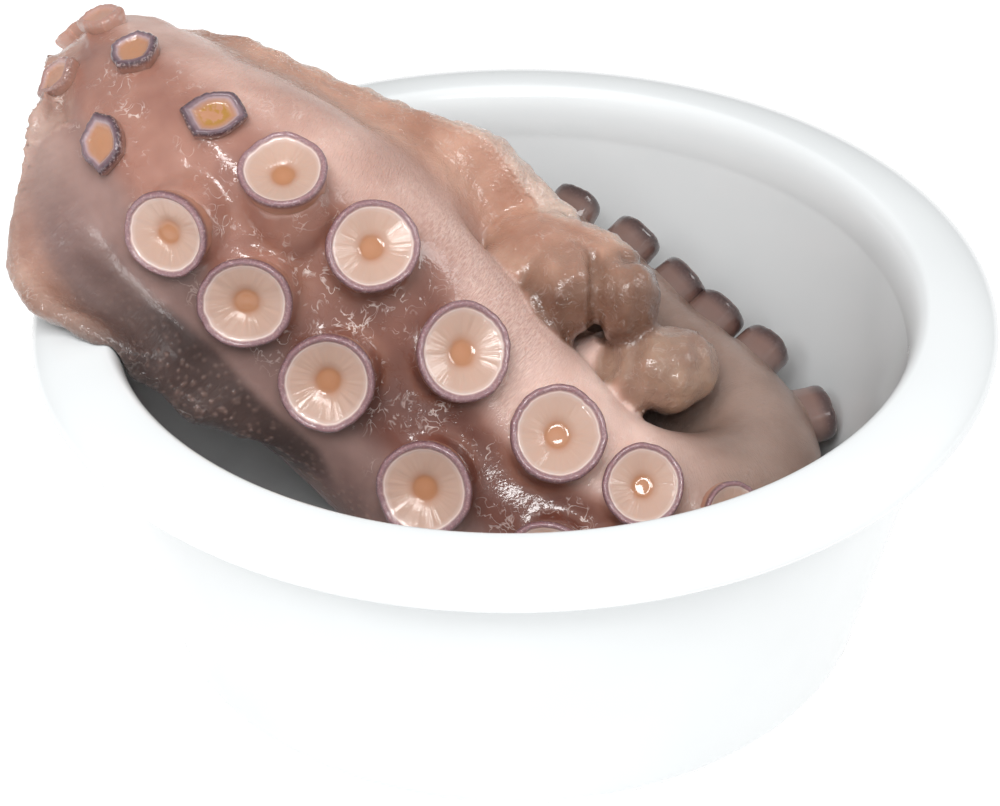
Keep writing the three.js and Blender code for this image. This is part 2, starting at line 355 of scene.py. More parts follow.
# The skin's colours, from the first laid down to the last: the mask that each is laid by,
# and the two shades that it wanders between.
SKIN_SHADES = [
    ("deep", "#5b3329", "#704337"),
    # painted shade: darker brown laid into the hollows
    ("crease", "#804f3d", "#8f614f"),
    # a greyer mauve tone with painted shade, on the left side next to the sucker rows
    ("mauve", "#7f645e", "#997c75"),
    ("flank", "#6b5450", "#836a65"),
    ("pale", "#b99c92", "#cfb3a8"),
    ("ridge", "#b8948a", "#d0b2a7"),
    # painted light: paler on the ridge low down the arm, where it lies in shade
    ("low ridge painted light", "#d2b0a4", "#e6cabf"),
    ("thin", "#7e665b", "#917a6f"),
    ("web", "#a0735f", "#bc917d"),
    # painted light: paler pink where the right web leaves the arm, lifting the groove there
    ("painted_light_slope", "#b99488", "#cfaca0"),
    # painted shade: darker low down on the arm's left side, deep in the bowl
    ("dark", "#735954", "#8b706a"),
    # painted shade: nearly black-brown on the low part of the left web
    ("shade", "#3f302d", "#54433f"),
    ("band", "#b2978a", "#cdb6a8"),
    ("lobe", "#87695a", "#a58772"),
    ("jelly", "#5c3d2f", "#7a5745"),
    ("cut", "#dcc4b8", "#ecddd3"),
]


def make_skin():
    """Boiled octopus skin: pinkish brown with a mauve cast, thin and a little translucent
    over pale flesh, wet all over. The flanks have goose bumps with pale tips, the ridge
    beside the web has fine pale fibres, a crinkled film lies in the troughs between the
    suckers with painted glints along its crinkles, and the web is peach and jelly-like.
    Painted shade darkens the hollows, the left side next to the sucker rows, the low left
    side of the arm and the low part of the left web; painted light lifts the ridge low down
    the arm and the groove where the right web leaves it."""
    m = new_material("boiled octopus skin")
    place = add_node(m, "ShaderNodeTexCoord").outputs["Object"]
    masks = ["dots", "goose", "fuzz", "lumpy", "film", "glint_lines", "grainy", "wet"]
    masks += [shade[0] for shade in SKIN_SHADES]
    mask = {
        name: add_node(m, "ShaderNodeAttribute", {"attribute_name": name}).outputs["Fac"]
        for name in masks
    }
    lie = add_node(m, "ShaderNodeAttribute", {"attribute_name": "lie"}).outputs["Vector"]

    # patches 8 mm across, mottling 1.5 mm across
    patches = add_node(m, "ShaderNodeTexNoise", Vector=place, Scale=120.0, Detail=3.0)
    mottle = add_node(m, "ShaderNodeTexNoise", Vector=place, Scale=650.0, Detail=3.0)
    cloud = add_node(
        m, "ShaderNodeMapRange", Value=patches.outputs["Fac"], From_Min=0.35, From_Max=0.65,
    ).outputs["Result"]
    # goose bumps 1 mm apart, pulled out of round by the mottling
    bend = add_node(
        m, "ShaderNodeMix", {"data_type": "VECTOR"}, in_0=0.00015, in_4=place,
        in_5=mottle.outputs["Color"],
    ).outputs[1]
    goose = add_node(
        m, "ShaderNodeTexVoronoi", {"feature": "SMOOTH_F1"}, Vector=bend, Scale=1050.0,
        Randomness=0.75,
    )
    tips = add_node(
        m, "ShaderNodeMapRange", {"interpolation_type": "SMOOTHSTEP"},
        Value=goose.outputs["Distance"], From_Min=0.46, From_Max=0.02,
    ).outputs["Result"]
    # fibres 0.2 mm apart that run across the arm, 1.2 mm long
    strands = add_node(m, "ShaderNodeMapping", Vector=lie, Scale=(4.6, 0.8, 1.0))
    hair = add_node(
        m, "ShaderNodeTexNoise", Vector=strands.outputs["Vector"], Scale=1.0, Detail=3.0,
        Distortion=0.6,
    )
    fibres = add_node(
        m, "ShaderNodeMapRange", Value=hair.outputs["Fac"], From_Min=0.36, From_Max=0.64,
    ).outputs["Result"]
    # the film's crinkles: thin raised lines that wander, 1.5 mm apart
    folds = add_node(m, "ShaderNodeTexNoise", Vector=place, Scale=560.0, Detail=2.0, Distortion=1.0)
    crinkle = add_node(m, "ShaderNodeValToRGB", Fac=folds.outputs["Fac"])
    set_ramp(crinkle, [(0.0, 0.0), (0.46, 0.0), (0.5, 1.0), (0.54, 0.0), (1.0, 0.0)])
    # they break off where another slow pattern, 2.5 mm across, is low
    breaks = add_node(m, "ShaderNodeTexNoise", Vector=place, Scale=400.0, Detail=3.0)
    lasting = add_node(
        m, "ShaderNodeMapRange", Value=breaks.outputs["Fac"], From_Min=0.46, From_Max=0.6,
    )
    threads = add_node(
        m, "ShaderNodeMath", TIMES, in_0=crinkle.outputs["Color"], in_1=lasting.outputs["Result"],
    )
    # the crinkle lines are painted whitish as painted glints, where the mask allows
    painted_glints = add_node(
        m, "ShaderNodeMath", TIMES, in_0=threads.outputs["Value"], in_1=mask["glint_lines"],
    )
    # wet grain 0.4 mm across
    grain = add_node(m, "ShaderNodeTexNoise", Vector=place, Scale=2400.0, Detail=2.0)

    skin = add_node(
        m, "ShaderNodeMix", COLOUR_MIX, in_0=cloud, in_6=linear("#8c6054"), in_7=linear("#a47768"),
    ).outputs[2]
    for name, low, high in SKIN_SHADES:
        pattern = fibres if name == "ridge" else cloud
        shade = add_node(
            m, "ShaderNodeMix", COLOUR_MIX, in_0=pattern, in_6=linear(low), in_7=linear(high),
        )
        skin = add_node(
            m, "ShaderNodeMix", COLOUR_MIX, in_0=mask[name], in_6=skin, in_7=shade.outputs[2],
        ).outputs[2]
    dots = add_node(m, "ShaderNodeMath", TIMES, in_0=tips, in_1=mask["dots"])
    # pale goose bump tips, then the painted glints along the film's crinkles
    for amount, colour in ((dots, "#957a71"), (painted_glints, "#e6d6d0")):
        skin = add_node(
            m, "ShaderNodeMix", COLOUR_MIX, in_0=amount.outputs["Value"], in_6=skin,
            in_7=linear(colour),
        ).outputs[2]

    # relief in millimetres: the masks give each pattern's height
    relief = 0.0
    for pattern, height in (
        (mottle.outputs["Fac"], mask["lumpy"]),
        (tips, mask["goose"]),
        (fibres, mask["fuzz"]),
    ):
        relief = add_node(
            m, "ShaderNodeMath", TIMES_PLUS, in_0=pattern, in_1=height, in_2=relief,
        ).outputs["Value"]
    film = relief
    for pattern, height in (
        (crinkle.outputs["Color"], mask["film"]),
        (grain.outputs["Fac"], mask["grainy"]),
    ):
        film = add_node(
            m, "ShaderNodeMath", TIMES_PLUS, in_0=pattern, in_1=height, in_2=film,
        ).outputs["Value"]
    flesh_bump = add_node(m, "ShaderNodeBump", Height=relief, Strength=1.0, Distance=MM)
    film_bump = add_node(m, "ShaderNodeBump", Height=film, Strength=1.0, Distance=MM)
    shader = add_node(
        m, "ShaderNodeBsdfPrincipled", Base_Color=skin, Roughness=0.42, IOR=1.4,
        Normal=flesh_bump.outputs["Normal"], Subsurface_Weight=0.25,
        Subsurface_Radius=(1.0, 0.45, 0.3), Subsurface_Scale=0.0022, Coat_Weight=mask["wet"],
        Coat_Roughness=0.06, Coat_IOR=1.6, Coat_Normal=film_bump.outputs["Normal"],
    )
    return finish_material(m, shader)


# Colours across a sucker, from the middle of its hole over the rim and down its wall.
OPEN_FACE = [
    (0.0, "#b07c5b"), (0.1, "#ab7653"), (0.17, "#a87555"), (0.22, "#ad7f65"), (0.28, "#b48e7b"),
    # the pale stops at 0.545 and 0.575 paint a highlight along the dish's inner edge
    (0.35, "#ba9988"), (0.49, "#bb9c8d"), (0.545, "#c6aca1"), (0.575, "#dccbc3"),
    (0.6, "#b79a96"), (0.625, "#8d6f72"), (0.7, "#8a6a6f"), (0.735, "#7c5b60"),
    (0.765, "#644449"), (0.8, "#7b564d"), (0.86, "#9f6f5d"), (0.93, "#a87864"), (1.0, "#9b6b5a"),
]
SHUT_FACE = [
    (0.0, "#ad7b5a"), (0.24, "#ae7e61"), (0.31, "#b08c80"), (0.37, "#a68f94"), (0.43, "#7e686e"),
    (0.54, "#5f4952"), (0.64, "#402830"), (0.72, "#5b3c3a"), (0.82, "#8f6557"), (1.0, "#94695a"),
]
SMALL_FACE = [
    (0.0, "#806052"), (0.3, "#957263"), (0.5, "#8a695d"), (0.58, "#503935"), (0.66, "#382523"),
    (0.74, "#4a3431"), (0.84, "#735850"), (1.0, "#755c54"),
]


def make_sucker_flesh(name, face, grains):
    """Boiled sucker: a cream-pink dish with fine spokes, an amber hole in its middle, a pale
    inner edge painted on as a highlight, and a thin mauve rim that darkens to purple outside.
    grains is how strongly pale grains speckle the rim; they are raised as grain and painted
    as glints."""
    m = new_material(name)
    place = add_node(m, "ShaderNodeTexCoord").outputs["Object"]
    spoke = add_node(m, "ShaderNodeAttribute", {"attribute_name": "spoke"}).outputs["Vector"]
    run, bits, fade = (
        add_node(m, "ShaderNodeAttribute", {"attribute_name": name}).outputs["Fac"]
        for name in ("run", "bits", "fade")
    )
    # mottling 1.2 mm across, and grain 0.3 mm across on the rim
    mottle = add_node(m, "ShaderNodeTexNoise", Vector=place, Scale=800.0, Detail=3.0)
    grain = add_node(m, "ShaderNodeTexNoise", Vector=place, Scale=3000.0, Detail=3.0)
    reach = add_node(m, "ShaderNodeMath", TIMES_PLUS, in_0=mottle.outputs["Fac"], in_1=0.03, in_2=run)
    colour = add_node(m, "ShaderNodeValToRGB", Fac=reach.outputs["Value"])
    set_ramp(colour, [(at + 0.015 * (0 < at < 1), shade) for at, shade in face])
    # the rim, from its inner edge to its dark outer edge, is speckled with pale grains: raised grain
    # with painted glints on it
    on_rim = add_node(m, "ShaderNodeValToRGB", Fac=run)
    set_ramp(on_rim, [(0.0, 0.0), (0.56, 0.0), (0.62, 1.0), (0.76, 1.0), (0.82, 0.0), (1.0, 0.0)])
    specks = add_node(
        m, "ShaderNodeMapRange", Value=grain.outputs["Fac"], From_Min=0.5, From_Max=0.72,
        To_Max=grains,
    )
    speckle = add_node(
        m, "ShaderNodeMath", TIMES, in_0=on_rim.outputs["Color"], in_1=specks.outputs["Result"],
    )
    # yellow bits 1 mm across that one shut sucker holds
    crumbs = add_node(
        m, "ShaderNodeMapRange", Value=mottle.outputs["Fac"], From_Min=0.44, From_Max=0.52,
    )
    held = add_node(m, "ShaderNodeMath", TIMES, in_0=crumbs.outputs["Result"], in_1=bits)
    # pale grains on the rim, partly painted glints; then the yellow bits; then the skin's colour
    # where a sucker fades into it
    finished = colour.outputs["Color"]
    for amount, shade in (
        (speckle.outputs["Value"], "#cdb6b4"),
        (held.outputs["Value"], "#a0742e"),
        (fade, "#b99080"),
    ):
        finished = add_node(
            m, "ShaderNodeMix", COLOUR_MIX, in_0=amount, in_6=finished, in_7=linear(shade),
        ).outputs[2]

    # spokes in the dish, and grain on the rim, as relief in millimetres
    spokes = add_node(m, "ShaderNodeTexNoise", Vector=spoke, Scale=10.0, Detail=3.0, Roughness=0.6)
    on_dish = add_node(m, "ShaderNodeValToRGB", Fac=run)
    set_ramp(
        on_dish, [(0.0, 0.0), (0.24, 0.0), (0.32, 0.1), (0.5, 0.12), (0.57, 0.0), (1.0, 0.0)]
    )
    ridges = add_node(
        m, "ShaderNodeMath", TIMES, in_0=spokes.outputs["Fac"], in_1=on_dish.outputs["Color"],
    )
    rough_rim = add_node(
        m, "ShaderNodeMath", TIMES_PLUS, in_0=speckle.outputs["Value"], in_1=0.12,
        in_2=ridges.outputs["Value"],
    )
    bump = add_node(m, "ShaderNodeBump", Height=rough_rim.outputs["Value"], Strength=1.0, Distance=MM)
    shader = add_node(
        m, "ShaderNodeBsdfPrincipled", Base_Color=finished, Roughness=0.4, IOR=1.4,
        Subsurface_Weight=0.35, Subsurface_Radius=(1.0, 0.5, 0.35), Subsurface_Scale=0.002,
        Coat_Weight=0.9, Coat_Roughness=0.04, Coat_IOR=1.65, Coat_Normal=bump.outputs["Normal"],
    )
    return finish_material(m, shader)


def make_floor_paint():
    """Matt white card under the bowl: a plain pale ground with no pattern of its own."""
    m = new_material("matt white card")
    shader = add_node(
        m, "ShaderNodeBsdfPrincipled", Base_Color=linear("#b4b4b4"), Roughness=0.8,
        Emission_Color=linear("#ffffff"), Emission_Strength=0.72,
    )
    return finish_material(m, shader)


PORCELAIN = make_porcelain()
SKIN = make_skin()
OPEN_FLESH = make_sucker_flesh("boiled sucker flesh", OPEN_FACE, 0.3)
SHUT_FLESH = make_sucker_flesh("boiled shut sucker flesh", SHUT_FACE, 0.45)
SMALL_FLESH = make_sucker_flesh("boiled small sucker flesh", SMALL_FACE, 0.05)
CARD = make_floor_paint()


# ---------------------------------------------------------------- bowl


def quarter_round(centre, radii, start, end, steps):
    """Points of part of an ellipse, as radius and height."""
    turns = [start + (end - start) * i / steps for i in range(steps + 1)]
    return [
        (centre[0] + radii[0] * math.cos(t), centre[1] + radii[1] * math.sin(t)) for t in turns
    ]


def inside_radius(height):
    lean = (WALL_TOP_RADIUS - WALL_FOOT_RADIUS) / (BOWL_HEIGHT - LIP_UNDERSIDE - FOOT_ROUND)
    return WALL_FOOT_RADIUS - WALL + lean * (height - FOOT_ROUND)


def bowl_profile():
    """The bowl's section from the middle of its floor, over the rim, to under its foot."""
    right = math.pi / 2
    corner_top = FLOOR + INNER_CORNER[1]
    inner_top = BOWL_HEIGHT - INNER_LIP_DEPTH
    floor_edge = inside_radius(corner_top) - INNER_CORNER[0]
    lip_under = BOWL_HEIGHT - LIP_UNDERSIDE
    crest = (CREST_RADIUS - inside_radius(inner_top), INNER_LIP_DEPTH)
    lip = (RIM_RADIUS - CREST_RADIUS, LIP_DEPTH)
    foot = (WALL_FOOT_RADIUS - FOOT_RADIUS, FOOT_ROUND)
    return [
        (0, FLOOR),
        *quarter_round((floor_edge, corner_top), INNER_CORNER, -right, 0, 14),
        *quarter_round((CREST_RADIUS, inner_top), crest, math.pi, right, 14),
        *quarter_round((CREST_RADIUS, BOWL_HEIGHT - LIP_DEPTH), lip, right, 0, 16)[1:],
        *quarter_round((RIM_RADIUS - 3, lip_under + 3.2), (3, 2.2), 0, -right * 0.62, 9),
        *quarter_round((WALL_TOP_RADIUS + 4, lip_under - 1.6), (4, 3), right * 1.1, math.pi, 9),
        *quarter_round((FOOT_RADIUS, FOOT_ROUND), foot, 0, -right, 14),
        (0, 0),
    ]


def make_bowl():
    bm = bmesh.new()
    ring = [bm.verts.new((r * MM, 0, z * MM)) for r, z in bowl_profile()]
    edges = [bm.edges.new(pair) for pair in zip(ring, ring[1:])]
    bmesh.ops.spin(
        bm, geom=ring + edges, axis=UP, cent=(0, 0, 0), angle=WHOLE_TURN, steps=BOWL_SEGMENTS,
        use_merge=True,
    )
    bmesh.ops.remove_doubles(bm, verts=bm.verts, dist=1e-6)
    bmesh.ops.recalc_face_normals(bm, faces=bm.faces)
    return make_piece("porcelain_bowl", bm, PORCELAIN, "bowl")


# ---------------------------------------------------------------- the arm's run


def measure_arm():
    """The arm's frame and sizes at even distances down it, in metres, as a table of arrays."""
    middles = [np.array(s[0], float) for s in STATIONS]
    facings = [np.array(s[1], float) for s in STATIONS]
    widths = [np.array(s[2:], float) for s in STATIONS]
    shares = np.linspace(0, 1, ARM_SAMPLES * 2)
    path = np.array([spline_point(middles, t) for t in shares])
    gaps = np.linalg.norm(np.diff(path, axis=0), axis=1)
    run = np.concatenate([[0], np.cumsum(gaps)])
    distances = np.linspace(0, run[-1], ARM_SAMPLES)
    at = np.interp(distances, run, shares)
    middle = np.array([spline_point(middles, t) for t in at])
    along = np.gradient(middle, axis=0)
    along /= np.linalg.norm(along, axis=1)[:, None]
    oral = np.array([spline_point(facings, t) for t in at])
    oral -= (oral * along).sum(1)[:, None] * along
    oral /= np.linalg.norm(oral, axis=1)[:, None]
    size = np.array([spline_point(widths, t, even=True) for t in at]) * MM
    return {
        "length": run[-1],
        "middle": middle * MM,
        "along": along,
        "oral": oral,
        "side": np.cross(oral, along),
        "half": size[:, 0],
        "deep": size[:, 1],
        "sucker": size[:, 2],
    }


ARM = measure_arm()


def arm_at(distance):
    """The arm's frame at a distance in millimetres from the cut."""
    place = min(max(distance / ARM["length"], 0), 1) * (ARM_SAMPLES - 1)
    first = min(int(place), ARM_SAMPLES - 2)
    t = place - first
    keys = ("middle", "along", "oral", "side", "half", "deep", "sucker")
    found = {k: ARM[k][first] * (1 - t) + ARM[k][first + 1] * t for k in keys}
    for k in ("middle", "along", "oral", "side"):
        found[k] = Vector(found[k])
    return found


def arm_point(distance, across, up):
    """A point of the arm: across and up run from -1 to 1 over its width and thickness."""
    f = arm_at(distance)
    flare = 1 + 0.08 * up
    return f["middle"] + f["side"] * (f["half"] * flare * across) + f["oral"] * (f["deep"] * up)


def sucker_places():
    """Every sucker down both rows, each with its kind: open, shut or small."""
    places = []
    for distance, row, size, more in FIRST_SUCKERS:
        kind = "shut" if "outline" in more else "open"
        places.append({"kind": kind, "distance": distance, "row": row, "size": size, **more})
    distance = THIN_PAIRS_FROM
    while distance < ARM["length"] - BARE_TIP:
        size = arm_at(distance)["sucker"] / MM
        for row, ahead in ((-1, 0), (1, size * PAIR_STAGGER)):
            places.append({"kind": "small", "distance": distance + ahead, "row": row, "size": size})
        distance += size * PAIR_PITCH
    return places


def sucker_matrix(place):
    """Where a sucker sits: its own up is the way it faces, and its X runs down the arm."""
    f = arm_at(place["distance"])
    seat = arm_point(
        place["distance"], math.sin(ROW_ANGLE) * place["row"], math.cos(ROW_ANGLE)
    )
    lean = ROW_ANGLE * 0.6
    face = f["oral"] * math.cos(lean) + f["side"] * (math.sin(lean) * place["row"])
    face += f["side"] * (place["row"] * place.get("out", 0)) - f["along"] * place.get("back", 0)
    face.normalize()
    down = (f["along"] - face * f["along"].dot(face)).normalized()
    turn = Matrix((down, face.cross(down), face)).transposed().to_4x4()
    return Matrix.Translation(seat) @ turn


# ---------------------------------------------------------------- skin


def wrap_tube(bm, steps, around, place):
    """Adds a closed tube: a flat grid rolled up by place(share down, share round)."""
    made = bmesh.ops.create_grid(bm, x_segments=steps, y_segments=around, size=0.5)["verts"]
    for v in made:
        v.co = place(v.co.x + 0.5, v.co.y + 0.5)
    bmesh.ops.remove_doubles(bm, verts=made, dist=1e-6)
    open_edges = [e for e in bm.edges if e.is_boundary]
    bmesh.ops.holes_fill(bm, edges=open_edges, sides=0)


def place_on_arm(share, turn):
    """The arm's own skin, before its bumps: full on the sucker side and rounded behind."""
    distance = share * ARM["length"]
    angle = turn * WHOLE_TURN
    across, up = math.sin(angle), math.cos(angle)
    rounded = 0.86 + 0.14 * smooth_share(distance, 0, 4)
    groove = 0.07 * math.exp(-((across / 0.16) ** 2)) if up > 0 else 0
    groove *= 1 - smooth_share(distance, 108, 125)
    return arm_point(distance, across * rounded, (up - groove) * rounded)


def web_middle(web):
    """The middle of a web, from a share down it and a share out from the arm to its free
    edge."""
    edge = [np.array(p, float) for p in web["edge"]]
    noise.seed_set(RUFFLE_SEED)

    def middle(share, out):
        share = min(max(share, 0), 1)
        distance = web["from"] + (web["to"] - web["from"]) * share
        later = smooth_share(share, *web["turns_at"])
        up, swell = (a + (b - a) * later for a, b in (web["up"], web["swell"]))
        root = arm_point(distance, web["across"], up)
        free = Vector(spline_point(edge, share)) * MM
        ruffle = Vector((share * 11, web["across"] * 5, 0))
        free += noise.noise_vector(ruffle) * (0.9 * MM)
        lift = swell * math.sin(math.pi * out) * MM
        return root.lerp(free, out) + arm_at(distance)["oral"] * lift

    return middle


def web_place(web):
    """The place function of a web: a flattened tube round its middle, with a rolled band
    along the free edge."""
    middle = web_middle(web)

    def place(share, turn):
        angle = turn * WHOLE_TURN
        out = 0.5 - 0.5 * math.cos(angle)
        step = 0.01
        down = middle(share + step, out) - middle(share - step, out)
        outward = middle(share, out + step) - middle(share, out - step)
        normal = down.cross(outward).normalized()
        waist = 1 - 0.6 * math.exp(-(((out - 0.6) / 0.18) ** 2))
        roll = web["roll"] * math.exp(-(((out - 0.91) / 0.12) ** 2))
        thickness = (web["thick"] * 0.5 * (1 - 0.45 * out) * waist + roll) * MM
        return middle(share, out) + normal * (math.sin(angle) * thickness)

    return place


def add_lobe(bm, centre, radii, turn):
    spot = Matrix.Translation(Vector(centre) * MM) @ Matrix.Rotation(turn, 4, "Z")
    scale = Matrix.Diagonal((*(Vector(radii) * MM), 1))
    bmesh.ops.create_icosphere(bm, subdivisions=4, radius=1, matrix=spot @ scale)


def add_mound(bm, place):
    """The fleshy stalk under a sucker, wide at the arm and narrower under the rim."""
    size = place["size"] * MM
    stalk = {"radius1": size * 0.64, "radius2": size * 0.47, "depth": size * 0.6}
    matrix = sucker_matrix(place) @ Matrix.Translation((0, 0, -size * 0.26))
    bmesh.ops.create_cone(bm, cap_ends=True, segments=28, matrix=matrix, **stalk)


def evaluated_mesh(mesh, name, kind, **settings):
    """The mesh as it is after one modifier."""
    holder = bpy.data.objects.new("holder", mesh)
    bpy.context.scene.collection.objects.link(holder)
    modifier = holder.modifiers.new(name, kind)
    for key, value in settings.items():
        setattr(modifier, key, value)
    graph = bpy.context.evaluated_depsgraph_get()
    made = bpy.data.meshes.new_from_object(holder.evaluated_get(graph))
    bpy.data.objects.remove(holder)
    bpy.data.meshes.remove(mesh)
    return made


def vertex_array(mesh, what="co"):
    values = np.empty(len(mesh.vertices) * 3, np.float32)
    if what == "co":
        mesh.vertices.foreach_get("co", values)
    else:
        mesh.vertex_normals.foreach_get("vector", values)
    return values.reshape(-1, 3).astype(float)


def arm_coordinates(points):
    """For each point: its distance down the nearest stretch of arm, and where it is across
    and up that stretch, as shares of the half width and half thickness."""
    found = [np.zeros(len(points)) for _ in range(3)]
    skip = 2
    middle, half, deep = (ARM[k][::skip] for k in ("middle", "half", "deep"))
    for start in range(0, len(points), BLOCK):
        block = points[start : start + BLOCK]
        gap = np.linalg.norm(block[:, None, :] - middle[None], axis=2) - half[None] * 0.8
        best = gap.argmin(axis=1) * skip
        away = block - ARM["middle"][best]
        part = slice(start, start + len(block))
        found[0][part] = best / (ARM_SAMPLES - 1) * ARM["length"]
        found[0][part] += (away * ARM["along"][best]).sum(1) / MM
        found[1][part] = (away * ARM["side"][best]).sum(1) / ARM["half"][best]
        found[2][part] = (away * ARM["oral"][best]).sum(1) / ARM["deep"][best]
    return found


def spread_points(mesh, points, rounds):
    """The points after some rounds of moving each to the middle of its neighbours."""
    ends = np.empty(len(mesh.edges) * 2, np.int32)
    mesh.edges.foreach_get("vertices", ends)
    first, second = ends.reshape(-1, 2).T
    count = np.maximum(np.bincount(ends, minlength=len(points)), 1)
    spread = points.copy()
    for _ in range(rounds):
        for axis in range(3):
            line = spread[:, axis].copy()
            total = np.bincount(first, line[second], len(points))
            total += np.bincount(second, line[first], len(points))
            spread[:, axis] = total / count
    return spread


def clear_of_bowl(points):
    """Moves points that are in the bowl's wall out through its nearest side."""
    profile = np.array(bowl_profile()) * MM
    fine = np.linspace(0, len(profile) - 1, 900)
    whole = np.arange(len(profile))
    line = np.stack([np.interp(fine, whole, profile[:, i]) for i in (0, 1)], axis=1)
    run = np.gradient(line, axis=0)
    run /= np.maximum(np.linalg.norm(run, axis=1), 1e-12)[:, None]
    outward = np.stack([-run[:, 1], run[:, 0]], axis=1)
    radius = np.hypot(points[:, 0], points[:, 1])
    flat = np.stack([radius, points[:, 2]], axis=1)
    for start in range(0, len(points), BLOCK):
        block = flat[start : start + BLOCK]
        gap = np.linalg.norm(block[:, None, :] - line[None], axis=2)
        near = gap.argmin(axis=1)
        depth = ((block - line[near]) * outward[near]).sum(1)
        short = np.maximum(RESTING_GAP * MM - depth, 0)
        block += outward[near] * short[:, None]
    swell = np.where(radius > 1e-6, flat[:, 0] / np.maximum(radius, 1e-6), 1)
    points[:, 0] *= swell
    points[:, 1] *= swell
    points[:, 2] = flat[:, 1]


def add_values(mesh, name, values):
    layer = mesh.attributes.new(name, "FLOAT", "POINT")
    layer.data.foreach_set("value", np.clip(values, 0, 1).astype(np.float32))


def near_webs(points):
    """For each point: how far it is from the middle of the nearer web, in millimetres, how
    far out on that web it is, and 1 if that is the right web."""
    spots = []
    for right, web in enumerate((LEFT_WEB, RIGHT_WEB)):
        middle = web_middle(web)
        shares = np.linspace(0, 1, WEB_SPOTS[1])
        for out in np.linspace(0, 1, WEB_SPOTS[0]):
            spots += [(middle(share, out), out, right) for share in shares]
    tree = kdtree.KDTree(len(spots))
    for i, spot in enumerate(spots):
        tree.insert(spot[0], i)
    tree.balance()
    found = [tree.find(p) for p in points]
    away = np.array([gap for _, _, gap in found]) / MM
    out, right = np.array([spots[i][1:] for _, i, _ in found]).T
    return away, out, right


def near_lobes(points, lobes):
    """1 on the lobes, falling to 0 a little way from them."""
    most = np.zeros(len(points))
    for centre, radii, _ in lobes:
        away = (points / MM - np.array(centre)) / np.array(radii)
        most = np.maximum(most, 1 - smooth_share(np.linalg.norm(away, axis=1), 1.05, 1.25))
    return most


def skin_lumps(points, normals, web, band, jelly):
    """Slow lumps and folds of the flesh, worked out point by point."""
    push = np.zeros(len(points))
    for i, (p, w, b, j) in enumerate(zip(points, web, band, jelly)):
        spot = Vector(p) / MM
        slow = noise.noise(spot / 7.0)
        quick = noise.noise(spot / 2.6)
        fine = noise.noise(spot / 1.2)
        drape = noise.noise(Vector((spot.x / 2.4, spot.y / 5.0, spot.z / 12.0)))
        fold = math.exp(-(((spot.x - FOLD_AT) / 0.9) ** 2))
        push[i] = slow * (0.2 + 0.3 * w) + quick * (0.04 + 0.08 * w + 0.3 * b)
        push[i] += fine * (0.015 + 0.25 * b + 0.05 * j)
        push[i] += (drape * 0.8 + quick * 0.25 - fold * 1.5) * j
    return points + normals * (push * MM)[:, None]


def rough_skin():
    """The arm, its webs, lobes and sucker stalks as overlapping closed shapes in one mesh."""
    bm = bmesh.new()
    wrap_tube(bm, ARM_STEPS, ARM_AROUND, place_on_arm)
    for web in (RIGHT_WEB, LEFT_WEB):
        wrap_tube(bm, WEB_STEPS, WEB_AROUND, web_place(web))
    for lobe in HANGING_LOBES + LOW_LOBES + LOBE_ROOTS:
        add_lobe(bm, *lobe)
    for place in sucker_places():
        add_mound(bm, place)
    bmesh.ops.recalc_face_normals(bm, faces=bm.faces)
    rough = bpy.data.meshes.new("rough skin")
    bm.to_mesh(rough)
    bm.free()
    return rough


